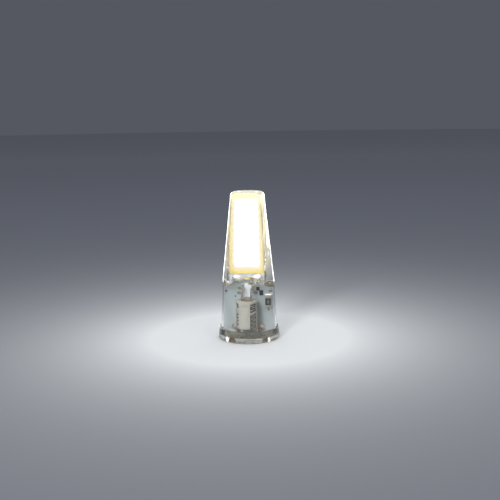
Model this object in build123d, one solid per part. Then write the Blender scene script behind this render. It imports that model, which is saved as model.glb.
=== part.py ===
"""Clear LED capsule lamp with two contact pins, modelled piece by piece, in millimetres.

A drafted clear cover stands in a clear base cap. A white driver board stands on the cap inside the cover. Its
lower part carries the rectifier, the smoothing capacitor and the chip resistor. Its narrow tongue reaches up
into a close pocket in the thick top of the cover, with one phosphor-coated LED board on each face. The two
pins pass through the cap and are soldered into notches in the foot of the driver board.

Frame: +Z runs up the lamp's axis, the origin is the centre of the cap's underside, the front LED board faces
-Y and the two pins stand on the X axis, reaching down below the origin.
"""

import os

from build123d import *

# Contact pins
pin_spacing = 4.0
pin_radius = 0.35
pin_reach = 7.5
pin_tip_chamfer = 0.18
pin_collar_radius = 0.55
pin_collar_height = 0.62
pin_collar_recess = 0.05
pin_hole_gap = 0.03
pin_in_notch = 1.5

# Base cap
plate_thickness = 0.9
ring_height = 1.3
ring_wall = 0.45
ring_gap = 0.05
ring_draft = 0.26
base_edge_bevel = 0.22
ring_edge_bevel = 0.07
rib_height = 0.5
rib_thickness = 0.4
rib_length = 2.2
rib_gap = 0.06

# Clear cover
cover_foot_radius = 5.42
cover_knee_radius = 4.92
cover_knee_height = 11.2
cover_top_radius = 3.12
cover_top_height = 28.0
cover_knee_round = 9.0
cover_top_round = 0.6
cover_wall = 0.32
cover_foot_gap = 0.05
vault_spring_height = 9.9
vault_rise = 1.7
pocket_gap = 0.1
pocket_corner = 0.2
pocket_end_gap = 0.12
pocket_draft = 1.2

# Driver board
board_thickness = 0.8
board_side_gap = 0.06
board_foot_gap = 0.1
board_shoulder_drop = 0.2
board_crown_drop = 1.05
tongue_width = 4.2
tongue_end_drop = 0.2
notch_gap = 0.05

# LED boards, one on each face of the tongue
led_board_width = 4.8
led_board_thickness = 0.6
led_board_foot = 11.1
led_board_length = 16.2
led_pad_length = 1.5
phosphor_thickness = 0.25
phosphor_edge_bevel = 0.08
chip_rows = 10
chip_columns = 2
chip_row_pitch = 1.3
chip_column_pitch = 1.7
chip_field_rise = 0.6
chip_length = 0.8
chip_width = 0.42
chip_thickness = 0.12
led_joint_spacing = 2.6
led_joint_width = 1.3
led_joint_drop = 0.6
led_joint_lap = 1.3
led_joint_rise = 0.35

# Smoothing capacitor
capacitor_radius = 2.0
capacitor_length = 5.4
capacitor_foot = 2.35
capacitor_board_gap = 0.1
sleeve_thickness = 0.08
sleeve_lap = 0.35
can_edge_bevel = 0.22
crimp_depth = 0.2
crimp_drop = 1.15
crimp_half_width = 0.34
bung_radius = 1.3
bung_thickness = 0.55
bung_recess = 0.06
lead_pitch = 1.75
lead_radius = 0.22
lead_bend = 0.5
lead_hole_height = 9.7
lead_hole_gap = 0.06
lead_tail = 0.4
lead_in_bung = 0.45
lead_joint_radius = 0.46
lead_joint_rise = 0.42

# Chip resistor
resistor_across = 3.8
resistor_height = 7.1
resistor_length = 2.1
resistor_width = 1.2
resistor_thickness = 0.5
resistor_cap_length = 0.38
resistor_cap_wall = 0.05
glaze_thickness = 0.04
glaze_margin = 0.06
resistor_joint_length = 0.42
resistor_joint_overlap = 0.06

# Bridge rectifier, on the back
rectifier_height = 5.6
rectifier_width = 4.0
rectifier_length = 4.6
rectifier_thickness = 2.3
rectifier_lift = 0.1
rectifier_draft = 7.0
leg_pitch = 2.5
leg_width = 0.65
leg_thickness = 0.22
leg_reach = 1.05
leg_foot = 0.62
leg_exit_height = 1.1
leg_joint_height = 0.3
leg_joint_margin = 0.14

# Joints of the contact pins
pin_joint_radius = 0.74
pin_joint_waist = 0.62
pin_joint_crown = 0.34
pin_joint_rise = 0.6
pin_joint_offset = 0.6
pin_joint_drop = 0.36

# Places that follow from the sizes above
cover_foot = plate_thickness + cover_foot_gap
board_foot = plate_thickness + board_foot_gap
board_face = board_thickness / 2
led_face = board_face + led_board_thickness
phosphor_face = led_face + phosphor_thickness
led_board_end = led_board_foot + led_board_length
phosphor_foot = led_board_foot + led_pad_length
ring_inner_radius = cover_foot_radius + ring_gap
base_radius = ring_inner_radius + ring_wall
base_height = plate_thickness + ring_height
pin_end = board_foot + pin_in_notch
capacitor_axis = board_face + capacitor_board_gap + capacitor_radius
capacitor_top = capacitor_foot + capacitor_length
can_radius = capacitor_radius - sleeve_thickness


def cover_outside(height):
    """Outside radius of the lower, slightly drafted part of the cover."""
    share = (height - cover_foot) / (cover_knee_height - cover_foot)
    return cover_foot_radius + share * (cover_knee_radius - cover_foot_radius)


def chamber_radius(height):
    """Inside radius of the chamber, whose wall has one thickness."""
    return cover_outside(height) - cover_wall


def nearest_vertex(shape, point):
    return shape.vertices().sort_by_distance(point)[0]


def turned(points, rounds=(), bevels=()):
    """Solid turned about Z from (radius, height) points, with (corner index, size) rounds and bevels."""
    face = Plane.XZ * make_face(Polyline(*points, close=True))
    for change, corners in ((fillet, rounds), (chamfer, bevels)):
        for index, size in corners:
            across, height = points[index]
            face = change(nearest_vertex(face, (across, 0, height)), size)
    return revolve(face, Axis.Z)


def box_between(low, high):
    size = [b - a for a, b in zip(low, high)]
    centre = [(a + b) / 2 for a, b in zip(low, high)]
    return Pos(*centre) * Box(*size)


def make_cover():
    """Moulded cover: thick and close round the LED boards, thin round the driver chamber."""
    outside = turned(
        [
            (0, cover_foot),
            (cover_foot_radius, cover_foot),
            (cover_knee_radius, cover_knee_height),
            (cover_top_radius, cover_top_height),
            (0, cover_top_height),
        ],
        [(2, cover_knee_round), (3, cover_top_round)],
    )
    vault_crown = vault_spring_height + vault_rise
    chamber = turned(
        [
            (0, cover_foot),
            (chamber_radius(cover_foot), cover_foot),
            (chamber_radius(vault_crown), vault_crown),
            (0, vault_crown),
        ]
    )
    half = chamber_radius(vault_spring_height)
    vault = ThreePointArc((half, vault_spring_height), (0, vault_crown), (-half, vault_spring_height))
    below = Polyline(
        (-half, vault_spring_height),
        (-base_radius, vault_spring_height),
        (-base_radius, 0),
        (base_radius, 0),
        (base_radius, vault_spring_height),
        (half, vault_spring_height),
    )
    chamber &= extrude(Plane.XZ * make_face([vault, *below.edges()]), base_radius, both=True)
    pocket_top = led_board_end + pocket_end_gap
    pocket_end = RectangleRounded(
        led_board_width + 2 * pocket_gap, 2 * (phosphor_face + pocket_gap), pocket_corner
    )
    pocket = extrude(
        Pos(0, 0, pocket_top) * pocket_end,
        pocket_top - vault_spring_height,
        dir=(0, 0, -1),
        taper=-pocket_draft,
    )
    return outside - chamber - pocket


def make_base_cap():
    """Moulded cap: a plate, a ring round the cover's foot and two ribs that hold the board's foot."""
    cap = turned(
        [
            (0, 0),
            (base_radius, 0),
            (base_radius - ring_draft, base_height),
            (ring_inner_radius, base_height),
            (ring_inner_radius, plate_thickness),
            (0, plate_thickness),
        ],
        bevels=[(1, base_edge_bevel), (2, ring_edge_bevel)],
    )
    for side in (-1, 1):
        rib_centre = side * (board_face + rib_gap + rib_thickness / 2)
        cap += box_between(
            (-rib_length / 2, rib_centre - rib_thickness / 2, plate_thickness / 2),
            (rib_length / 2, rib_centre + rib_thickness / 2, plate_thickness + rib_height),
        )
        hole = Cylinder(pin_radius + pin_hole_gap, 4 * plate_thickness)
        seat = Cylinder(
            pin_collar_radius + pin_hole_gap,
            pin_collar_recess + pin_collar_height,
            align=(Align.CENTER, Align.CENTER, Align.MIN),
        )
        cap -= Pos(side * pin_spacing / 2, 0, 0) * (hole + seat)
    return cap


def make_pin(side):
    """Round pin with a collar that seats in the underside of the base cap."""
    profile = [
        (0, -pin_reach),
        (pin_radius - pin_tip_chamfer, -pin_reach),
        (pin_radius, -pin_reach + 2 * pin_tip_chamfer),
        (pin_radius, pin_collar_recess),
        (pin_collar_radius, pin_collar_recess),
        (pin_collar_radius, pin_collar_recess + pin_collar_height),
        (pin_radius, pin_collar_recess + pin_collar_height),
        (pin_radius, pin_end),
        (0, pin_end),
    ]
    return Pos(side * pin_spacing / 2, 0, 0) * turned(profile)


def make_notch(side):
    """Slot in the board's foot that takes one pin, round at its top."""
    half = pin_radius + notch_gap
    depth = 2 * board_thickness
    straight = box_between((-half, -depth / 2, 0), (half, depth / 2, pin_end))
    crown = Pos(0, 0, pin_end) * Rot(X=90) * Cylinder(half, depth)
    return Pos(side * pin_spacing / 2, 0, 0) * (straight + crown)


def make_board():
    """Driver board: arched lower part, tongue above, notches for the pins and holes for the leads."""
    shoulder = vault_spring_height - board_shoulder_drop
    crown = vault_spring_height + vault_rise - board_crown_drop
    foot_half = chamber_radius(board_foot) - board_side_gap
    shoulder_half = chamber_radius(shoulder) - board_side_gap
    sides = Polyline(
        (-shoulder_half, shoulder),
        (-foot_half, board_foot),
        (foot_half, board_foot),
        (shoulder_half, shoulder),
    )
    arch = ThreePointArc((shoulder_half, shoulder), (0, crown), (-shoulder_half, shoulder))
    tongue_foot = (shoulder + board_foot) / 2
    tongue_end = led_board_end - tongue_end_drop
    tongue = Pos(0, (tongue_foot + tongue_end) / 2) * Rectangle(tongue_width, tongue_end - tongue_foot)
    outline = make_face([*sides.edges(), arch]) + tongue
    board = extrude(Plane.XZ * outline, board_face, both=True)
    for side in (-1, 1):
        board -= make_notch(side)
        hole = Rot(X=90) * Cylinder(lead_radius + lead_hole_gap, 2 * board_thickness)
        board -= Pos(side * lead_pitch / 2, 0, lead_hole_height) * hole
    return board


def make_pin_joint(side, pin):
    """Solder that fills the notch round one pin and mounds up on both faces of the board."""
    height = pin_end - pin_joint_drop
    across = side * (pin_spacing / 2 + pin_joint_offset)
    mound = turned(
        [
            (0, 0),
            (pin_joint_radius, 0),
            (pin_joint_waist, pin_joint_rise / 2),
            (pin_joint_crown, pin_joint_rise),
            (0, pin_joint_rise),
        ]
    )
    front = Pos(across, -board_face, height) * Rot(X=90) * mound
    back = Pos(across, board_face, height) * Rot(X=-90) * mound
    filling = make_notch(side) & box_between(
        (-base_radius, -board_face, height - pin_joint_drop), (base_radius, board_face, vault_spring_height)
    )
    return (front + back + filling) - pin


def make_led_board():
    return box_between(
        (-led_board_width / 2, -led_face, led_board_foot),
        (led_board_width / 2, -board_face, led_board_end),
    )


def chip_places():
    """Centres of the LED chips, in rows up the phosphor-coated part of the board."""
    middle = (phosphor_foot + led_board_end) / 2 + chip_field_rise
    for row in range(chip_rows):
        for column in range(chip_columns):
            across = (column - (chip_columns - 1) / 2) * chip_column_pitch
            yield across, middle + (row - (chip_rows - 1) / 2) * chip_row_pitch


def make_chips():
    """The LED chips as separate dice on the board."""
    dice = [
        box_between(
            (across - chip_length / 2, -led_face - chip_thickness, height - chip_width / 2),
            (across + chip_length / 2, -led_face, height + chip_width / 2),
        )
        for across, height in chip_places()
    ]
    return Compound(children=dice)


def make_phosphor():
    """Yellow silicone layer cast over the chips and the whole width of the LED board."""
    layer = box_between(
        (-led_board_width / 2, -phosphor_face, phosphor_foot),
        (led_board_width / 2, -led_face, led_board_end),
    )
    rim = layer.faces().sort_by(Axis.Y)[0].edges()
    return chamfer(rim, phosphor_edge_bevel) - list(make_chips().solids())


def make_led_joint(side, led_board):
    """Solder fillet from the driver board up over the end of one pad of the LED board."""
    low = (-board_face, led_board_foot - led_joint_drop)
    crest = (-led_face - led_joint_rise, led_board_foot + led_joint_lap / 2)
    high = (-led_face, led_board_foot + led_joint_lap)
    swell = ThreePointArc(low, (-led_face - led_joint_rise / 2, led_board_foot), crest)
    cap = ThreePointArc(crest, (-led_face - 0.75 * led_joint_rise, led_board_foot + 0.8 * led_joint_lap), high)
    back = Polyline(low, (-board_face, high[1]), high)
    outline = Plane.YZ * make_face([swell, cap, *back.edges()])
    fillet_solid = extrude(outline, led_joint_width / 2, both=True)
    return Pos(side * led_joint_spacing / 2, 0, 0) * fillet_solid - led_board


def turned_can(outset, mouth_radius, mouth_depth):
    """Can with a crimp groove near its top and a round mouth, grown by outset for its sleeve."""
    radius = can_radius + outset
    foot = capacitor_foot + sleeve_thickness - outset
    top = capacitor_top - sleeve_thickness + outset
    crimp = capacitor_top - crimp_drop
    profile = [
        (0, foot),
        (radius, foot),
        (radius, crimp - crimp_half_width),
        (radius - crimp_depth, crimp),
        (radius, crimp + crimp_half_width),
        (radius, top),
        (mouth_radius, top),
        (mouth_radius, top - mouth_depth),
        (0, top - mouth_depth),
    ]
    return turned(profile, bevels=[(1, can_edge_bevel), (5, can_edge_bevel)])


def make_capacitor():
    """Aluminium can with a crimp near its lead end, its printed sleeve and its rubber bung."""
    bung_floor = capacitor_top - sleeve_thickness - bung_recess - bung_thickness
    can = turned_can(0, bung_radius, bung_recess + bung_thickness)
    lap_radius = can_radius - can_edge_bevel - sleeve_lap
    filled = turned_can(0, lap_radius, sleeve_thickness)
    window = Pos(0, 0, capacitor_foot) * Cylinder(lap_radius, 4 * sleeve_thickness)
    sleeve = turned_can(sleeve_thickness, lap_radius, 2 * sleeve_thickness) - filled - window
    bung = Pos(0, 0, bung_floor) * Cylinder(
        bung_radius, bung_thickness, align=(Align.CENTER, Align.CENTER, Align.MIN)
    )
    place = Pos(0, -capacitor_axis, 0)
    leads = [make_lead(side) for side in (-1, 1)]
    return place * can, place * sleeve, place * bung - leads, leads


def make_lead(side):
    """Tinned wire up out of the bung, bent back in two steps through its hole in the driver board."""
    across = side * lead_pitch / 2
    start = capacitor_top - sleeve_thickness - bung_recess - lead_in_bung
    route = Polyline(
        (across, -capacitor_axis, start),
        (across, -capacitor_axis, lead_hole_height - lead_bend),
        (across, -capacitor_axis + lead_bend, lead_hole_height),
        (across, board_face + lead_tail, lead_hole_height),
    )
    section = Plane(origin=(across, -capacitor_axis, start), z_dir=(0, 0, 1)) * Circle(lead_radius)
    return sweep(section, path=route, transition=Transition.RIGHT)


def make_lead_joint(side, lead):
    """Solder that fills the hole round one lead and draws up it in a cone on each face of the board."""
    joint = Rot(X=90) * turned(
        [
            (0, -board_face - lead_joint_rise),
            (lead_radius, -board_face - lead_joint_rise),
            (lead_joint_radius, -board_face),
            (lead_radius + lead_hole_gap, -board_face),
            (lead_radius + lead_hole_gap, board_face),
            (lead_joint_radius, board_face),
            (lead_radius, board_face + lead_joint_rise),
            (0, board_face + lead_joint_rise),
        ]
    )
    return Pos(side * lead_pitch / 2, 0, lead_hole_height) * joint - lead


def make_resistor():
    """Ceramic chip with plated ends, a glaze on its face and a solder fillet at each end."""
    back = -board_face
    face = back - resistor_thickness
    half = resistor_width / 2
    low = resistor_height - resistor_length / 2
    high = resistor_height + resistor_length / 2
    wall = resistor_cap_wall
    chip = box_between((-half + wall, face + wall, low + wall), (half - wall, back - wall, high - wall))
    caps = [
        box_between((-half, face, low), (half, back, low + resistor_cap_length)) - chip,
        box_between((-half, face, high - resistor_cap_length), (half, back, high)) - chip,
    ]
    glaze = box_between(
        (-half + glaze_margin, face + wall - glaze_thickness, low + resistor_cap_length),
        (half - glaze_margin, face + wall, high - resistor_cap_length),
    )
    joints = []
    for end, out in ((low, -1), (high, 1)):
        reach = end + out * resistor_joint_length
        climb = face + resistor_joint_overlap
        curve = RadiusArc((back, reach), (climb, end), out * resistor_joint_length)
        edges = [curve, Line((climb, end), (back, end)), Line((back, end), (back, reach))]
        joints.append(Pos(-half, 0, 0) * extrude(Plane.YZ * make_face(edges), resistor_width))
    place = Pos(resistor_across, 0, 0)
    return place * chip, place * glaze, [place * cap for cap in caps], [place * joint for joint in joints]


def make_rectifier():
    """Moulded bridge rectifier with two gull-wing legs on each side, and the joints under their feet."""
    near = board_face + rectifier_lift
    middle = near + leg_exit_height
    outline = Plane(origin=(0, middle, rectifier_height), z_dir=(0, 1, 0)) * Rectangle(
        rectifier_width, rectifier_length
    )
    case = extrude(outline, near + rectifier_thickness - middle, taper=rectifier_draft)
    case += extrude(outline, middle - near, dir=(0, -1, 0), taper=rectifier_draft)
    legs, joints = [], []
    start = rectifier_width / 2
    knee = start + leg_reach - leg_foot
    for side in (-1, 1):
        for level in (-1, 1):
            height = rectifier_height + level * leg_pitch / 2
            spine = [
                (start, middle - leg_thickness / 2),
                (knee + leg_thickness, middle - leg_thickness / 2),
                (knee + leg_thickness, board_face + leg_thickness),
                (start + leg_reach, board_face + leg_thickness),
                (start + leg_reach, board_face),
                (knee, board_face),
                (knee, middle - 3 * leg_thickness / 2),
                (start, middle - 3 * leg_thickness / 2),
            ]
            outline = Plane(origin=(0, 0, height - leg_width / 2), z_dir=(0, 0, 1)) * make_face(
                Polyline(*spine, close=True)
            )
            leg = extrude(outline, leg_width) - case
            pad = box_between(
                (knee - leg_joint_margin, board_face, height - leg_width / 2 - leg_joint_margin),
                (
                    start + leg_reach + leg_joint_margin,
                    board_face + leg_joint_height,
                    height + leg_width / 2 + leg_joint_margin,
                ),
            )
            pad = chamfer(pad.faces().sort_by(Axis.Y)[-1].edges(), leg_joint_margin) - leg
            if side < 0:
                leg, pad = mirror(leg, about=Plane.YZ), mirror(pad, about=Plane.YZ)
            legs.append(leg)
            joints.append(pad)
    return case, legs, joints


def build():
    board = make_board()
    led_board = make_led_board()
    phosphor = make_phosphor()
    chips = make_chips()
    can, sleeve, bung, leads = make_capacitor()
    resistor_chip, glaze, resistor_caps, resistor_joints = make_resistor()
    case, legs, leg_joints = make_rectifier()
    to_back = Rot(Z=180)
    parts = {
        "clear_cover": make_cover(),
        "base_cap": make_base_cap(),
        "driver_board": board,
        "led_board_front": led_board,
        "led_board_back": to_back * led_board,
        "led_chips_front": chips,
        "led_chips_back": to_back * chips,
        "phosphor_front": phosphor,
        "phosphor_back": to_back * phosphor,
        "capacitor_can": can,
        "capacitor_sleeve": sleeve,
        "capacitor_bung": bung,
        "resistor_chip": resistor_chip,
        "resistor_glaze": glaze,
        "rectifier_case": case,
    }
    for side, name in ((-1, "left"), (1, "right")):
        pin = make_pin(side)
        lead = leads[(side + 1) // 2]
        led_joint = make_led_joint(side, led_board)
        parts[f"contact_pin_{name}"] = pin
        parts[f"pin_joint_{name}"] = make_pin_joint(side, pin)
        parts[f"capacitor_lead_{name}"] = lead
        parts[f"lead_joint_{name}"] = make_lead_joint(side, lead)
        parts[f"led_joint_front_{name}"] = led_joint
        parts[f"led_joint_back_{name}"] = to_back * led_joint
    for level, name in enumerate(("lower", "upper")):
        parts[f"resistor_cap_{name}"] = resistor_caps[level]
        parts[f"resistor_joint_{name}"] = resistor_joints[level]
    for number, (leg, joint) in enumerate(zip(legs, leg_joints), start=1):
        parts[f"rectifier_leg_{number}"] = leg
        parts[f"rectifier_joint_{number}"] = joint
    return parts


os.makedirs("parts", exist_ok=True)
for node, shape in build().items():
    export_step(shape, f"parts/{node}.step")
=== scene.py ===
"""Clear LED capsule lamp, lit, standing on a pale floor. Lengths in metres unless a name says otherwise."""
import math

import bmesh
import bpy
from mathutils import Matrix, Vector, noise


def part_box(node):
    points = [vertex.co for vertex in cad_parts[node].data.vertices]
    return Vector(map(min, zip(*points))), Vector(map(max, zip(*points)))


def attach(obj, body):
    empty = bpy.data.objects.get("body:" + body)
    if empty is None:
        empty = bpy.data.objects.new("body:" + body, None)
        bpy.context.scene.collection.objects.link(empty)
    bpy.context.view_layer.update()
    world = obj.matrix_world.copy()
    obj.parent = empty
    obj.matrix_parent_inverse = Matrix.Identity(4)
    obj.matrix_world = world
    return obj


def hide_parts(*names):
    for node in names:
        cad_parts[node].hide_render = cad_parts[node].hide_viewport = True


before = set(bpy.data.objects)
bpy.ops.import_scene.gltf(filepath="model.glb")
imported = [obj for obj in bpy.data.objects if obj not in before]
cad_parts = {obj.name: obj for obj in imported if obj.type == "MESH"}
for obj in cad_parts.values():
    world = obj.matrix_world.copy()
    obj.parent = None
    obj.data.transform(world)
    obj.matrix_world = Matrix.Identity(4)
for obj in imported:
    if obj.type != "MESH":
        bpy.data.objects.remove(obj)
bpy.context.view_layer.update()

# Base cap. A flat cap with a low ring that the cover's foot stands in, moulded in clear polycarbonate.
# Its edges are rounded by the mould. The pins pass through two holes with seats for their collars, and two
# ribs on its floor hold the foot of the driver board.
MM = 0.001
crease = math.radians(35)


def rounded_outline(corners, steps=6):
    """Points of a closed outline from (radius, height, rounding) corners, with an arc at each rounding."""
    points = []
    for index, (across, height, rounding) in enumerate(corners):
        here = Vector((across, height))
        if rounding <= 0:
            points.append(here)
            continue
        before = (Vector(corners[index - 1][:2]) - here).normalized()
        after = (Vector(corners[(index + 1) % len(corners)][:2]) - here).normalized()
        half = before.angle(after) / 2
        centre = here + (before + after).normalized() * rounding / math.sin(half)
        reach = rounding / math.tan(half)
        start = here + before * reach - centre
        end = here + after * reach - centre
        turn = math.atan2(start.x * end.y - start.y * end.x, start.dot(end))
        for step in range(steps + 1):
            points.append(centre + Matrix.Rotation(turn * step / steps, 2) @ start)
    return points


def show(name, mesh):
    """Object for a mesh, shaded smooth except where its faces meet at more than the crease angle."""
    mesh.shade_smooth()
    mesh.set_sharp_from_angle(angle=crease)
    piece = bpy.data.objects.new(name, mesh)
    bpy.context.collection.objects.link(piece)
    return piece


def turned(name, outline, around=160):
    """Closed piece turned about Z from the (radius, height) points of its outline, in millimetres."""
    form = bmesh.new()
    rings = []
    for across, height in outline:
        if across < 1e-6:
            rings.append([form.verts.new((0, 0, height * MM))])
            continue
        turns = [2 * math.pi * step / around for step in range(around)]
        spots = [(across * MM * math.cos(turn), across * MM * math.sin(turn), height * MM) for turn in turns]
        rings.append([form.verts.new(spot) for spot in spots])
    for low, high in zip(rings, rings[1:] + rings[:1]):
        if len(low) == 1 and len(high) == 1:
            continue
        for step in range(around):
            after = (step + 1) % around
            corners = [
                low[step % len(low)],
                low[after % len(low)],
                high[after % len(high)],
                high[step % len(high)],
            ]
            form.faces.new(list(dict.fromkeys(corners)))
    bmesh.ops.recalc_face_normals(form, faces=form.faces)
    mesh = bpy.data.meshes.new(name)
    form.to_mesh(mesh)
    form.free()
    return show(name, mesh)


def block(name, low, high, edge=0.0):
    """Block between two corners in millimetres, with its edges rounded."""
    form = bmesh.new()
    size = [b - a for a, b in zip(low, high)]
    middle = [(a + b) / 2 for a, b in zip(low, high)]
    bmesh.ops.create_cube(form, size=1, matrix=Matrix.LocRotScale(middle, None, size))
    if edge:
        bmesh.ops.bevel(form, geom=form.edges[:], offset=edge, segments=3, profile=0.5, affect="EDGES")
    bmesh.ops.scale(form, vec=(MM, MM, MM), verts=form.verts)
    mesh = bpy.data.meshes.new(name)
    form.to_mesh(mesh)
    form.free()
    return show(name, mesh)


def combine(piece, tool, operation):
    """Cuts a tool out of a piece or joins it on, and deletes the tool."""
    change = piece.modifiers.new("combine", "BOOLEAN")
    change.operation = operation
    change.solver = "EXACT"
    change.object = tool
    bpy.context.view_layer.update()
    shaped = bpy.data.meshes.new_from_object(piece.evaluated_get(bpy.context.evaluated_depsgraph_get()))
    piece.modifiers.remove(change)
    piece.data = shaped
    shaped.shade_smooth()
    shaped.set_sharp_from_angle(angle=crease)
    bpy.data.objects.remove(tool)


def linear(colour):
    """Linear colour from an sRGB hex value."""
    parts = [int(colour[start : start + 2], 16) / 255 for start in (1, 3, 5)]
    return [part / 12.92 if part <= 0.04045 else ((part + 0.055) / 1.055) ** 2.4 for part in parts] + [1.0]


def add(material, kind, values=None, links=None, **settings):
    """Adds a node with its settings, the values of its sockets and the outputs that feed them."""
    node = material.node_tree.nodes.new(kind)
    for key, value in settings.items():
        setattr(node, key, value)
    for key, value in (values or {}).items():
        node.inputs[key].default_value = value
    for key, socket in (links or {}).items():
        material.node_tree.links.new(socket, node.inputs[key])
    return node


def noise_in(material, spot, size_mm, **shape):
    """Noise whose patches have a real size, in millimetres."""
    values = {"Scale": 1 / (size_mm * MM), **shape}
    return add(material, "ShaderNodeTexNoise", values, {"Vector": spot}).outputs["Fac"]


def mix_colours(material, share, colour, other):
    """Mix of two sRGB hex colours by a share from 0 to 1."""
    ends = {6: linear(colour), 7: linear(other)}
    return add(material, "ShaderNodeMix", ends, {0: share}, data_type="RGBA").outputs[2]


def relief_in(material, height_mm, height):
    """Bump of a real height, in millimetres."""
    return add(material, "ShaderNodeBump", {"Distance": height_mm * MM}, {"Height": height}).outputs["Normal"]


def start_material(name):
    material = bpy.data.materials.new(name)
    material.use_nodes = True
    material.node_tree.nodes.clear()
    return material


def end_material(material, shader):
    add(material, "ShaderNodeOutputMaterial", links={"Surface": shader.outputs[0]})
    return material


# Clear polycarbonate, injection moulded in a polished tool: glassy, and a little wavy where the thick parts
# shrank. The cover is water clear with a faint cool cast. The cap is tinted a darker grey-beige and lets lamp
# light through in dark grey: painted shade that darkens its inside and the floor under it.
def clear_polycarbonate(
    name, wave_mm, wave_height_mm, roughness, tint="#FAFCFD", shade="#F4F7F9", painted_glow_mm=None
):
    """Clear plastic. Lamps shine straight through it in the shade colour. Where its last argument gives two
    heights and
    a strength, the plastic glows, from nothing at the lower height to that strength at and above the upper
    one:
    painted light that stands for the panel's light piped through it."""
    material = start_material(name)
    spot = add(material, "ShaderNodeTexCoord").outputs["Object"]
    waves = noise_in(material, spot, wave_mm, Detail=1.0, Roughness=0.4)
    relief = relief_in(material, wave_height_mm, waves)
    body = add(
        material,
        "ShaderNodeBsdfPrincipled",
        {
            "Base Color": linear(tint),
            "Roughness": roughness,
            "IOR": 1.585,
            "Transmission Weight": 1.0,
        },
        {"Normal": relief},
    )
    # Painted light: an emission that makes the clear plastic glow pale yellow above a height, standing for
    # light piped from the panel.
    if painted_glow_mm:
        height = add(material, "ShaderNodeSeparateXYZ", links={0: spot})
        painted_glow_ramp = add(
            material,
            "ShaderNodeMapRange",
            {"From Min": painted_glow_mm[0] * MM, "From Max": painted_glow_mm[1] * MM, "To Max": painted_glow_mm[2]},
            {"Value": height.outputs["Z"]},
            interpolation_type="SMOOTHSTEP",
        )
        body.inputs["Emission Color"].default_value = linear("#FFF0BE")
        material.node_tree.links.new(painted_glow_ramp.outputs[0], body.inputs["Emission Strength"])
    passed = add(material, "ShaderNodeBsdfTransparent", {"Color": linear(shade)})
    path = add(material, "ShaderNodeLightPath")
    both = add(
        material,
        "ShaderNodeMixShader",
        links={0: path.outputs["Is Shadow Ray"], 1: body.outputs[0], 2: passed.outputs[0]},
    )
    return end_material(material, both)


cap_radius_mm = 5.92
cap_height_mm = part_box("base_cap")[1].z / MM
cap_draft_mm = 0.26
plate_mm = 0.9
ring_inside_mm = 5.47
rib_half_mm = 1.1
rib_foot_mm, rib_top_mm = 0.4, 1.4
rib_edges_mm = (0.46, 0.86)
pin_offset_mm = 2.0
pin_hole_mm = 0.38
collar_seat_mm, collar_seat_top_mm = 0.58, 0.67
base_cap = turned(
    "base_cap_clear",
    rounded_outline(
        [
            (0, 0, 0),
            (cap_radius_mm, 0, 0.3),
            (cap_radius_mm - cap_draft_mm, cap_height_mm, 0.08),
            (ring_inside_mm, cap_height_mm, 0.06),
            (ring_inside_mm, plate_mm, 0.1),
            (0, plate_mm, 0),
        ]
    ),
)
for side in (-1, 1):
    low_y_mm, high_y_mm = sorted(side * edge for edge in rib_edges_mm)
    rib = block("rib", (-rib_half_mm, low_y_mm, rib_foot_mm), (rib_half_mm, high_y_mm, rib_top_mm), 0.06)
    combine(base_cap, rib, "UNION")
    for hole_mm, high_mm in ((pin_hole_mm, 2), (collar_seat_mm, collar_seat_top_mm)):
        drill = turned("drill", [(0, -1), (hole_mm, -1), (hole_mm, high_mm), (0, high_mm)], around=48)
        drill.data.transform(Matrix.Translation((side * pin_offset_mm * MM, 0, 0)))
        combine(base_cap, drill, "DIFFERENCE")
# The cap's tint and the colour of the lamp light it lets through are darker than the plastic's own: painted
# shade inside and under the cap.
base_cap.data.materials.append(
    clear_polycarbonate(
        "clear polycarbonate, moulded cap", 0.8, 0.055, 0.02, tint="#E3E0D6", shade="#8C887E"
    )
)
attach(base_cap, "root")
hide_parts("base_cap")


# Contact pins. Brass wire under a thin, worn nickel plate that stays warm in colour, cut and chamfered at the
# tips, with a collar upset near the top that seats in the cap. Drawn and plated metal: bright, with faint
# streaks and dull spots.
def bright_metal(name, colour, dull_colour, roughness, grain_mm, relief_mm):
    """Bare or plated metal, clouded between two colours and two roughnesses by its grain."""
    material = start_material(name)
    spot = add(material, "ShaderNodeTexCoord").outputs["Object"]
    grain = noise_in(material, spot, grain_mm, Detail=3.0, Roughness=0.6)
    tint = mix_colours(material, grain, colour, dull_colour)
    gloss = add(
        material,
        "ShaderNodeMapRange",
        {"From Min": 0.3, "From Max": 0.7, "To Min": roughness * 0.7, "To Max": roughness * 1.5},
        {"Value": grain},
    )
    relief = relief_in(material, relief_mm, grain)
    metal = add(
        material,
        "ShaderNodeBsdfPrincipled",
        {"Metallic": 1.0},
        {"Base Color": tint, "Roughness": gloss.outputs[0], "Normal": relief},
    )
    return end_material(material, metal)


def finish(node, material, edge_mm=0.0):
    """Gives a CAD node's own object a material, and rounds its edges where a size is given."""
    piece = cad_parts[node]
    for holder in piece.material_slots:
        holder.material = material
    if edge_mm:
        soften = piece.modifiers.new("moulded edges", "BEVEL")
        soften.width = edge_mm * MM
        soften.segments = 2
        soften.limit_method = "ANGLE"
        soften.harden_normals = True


plated_brass = bright_metal("nickel plate on brass wire, worn", "#DCC4AA", "#B58C6C", 0.2, 0.12, 0.004)
for side_name in ("left", "right"):
    finish(f"contact_pin_{side_name}", plated_brass)

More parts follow.
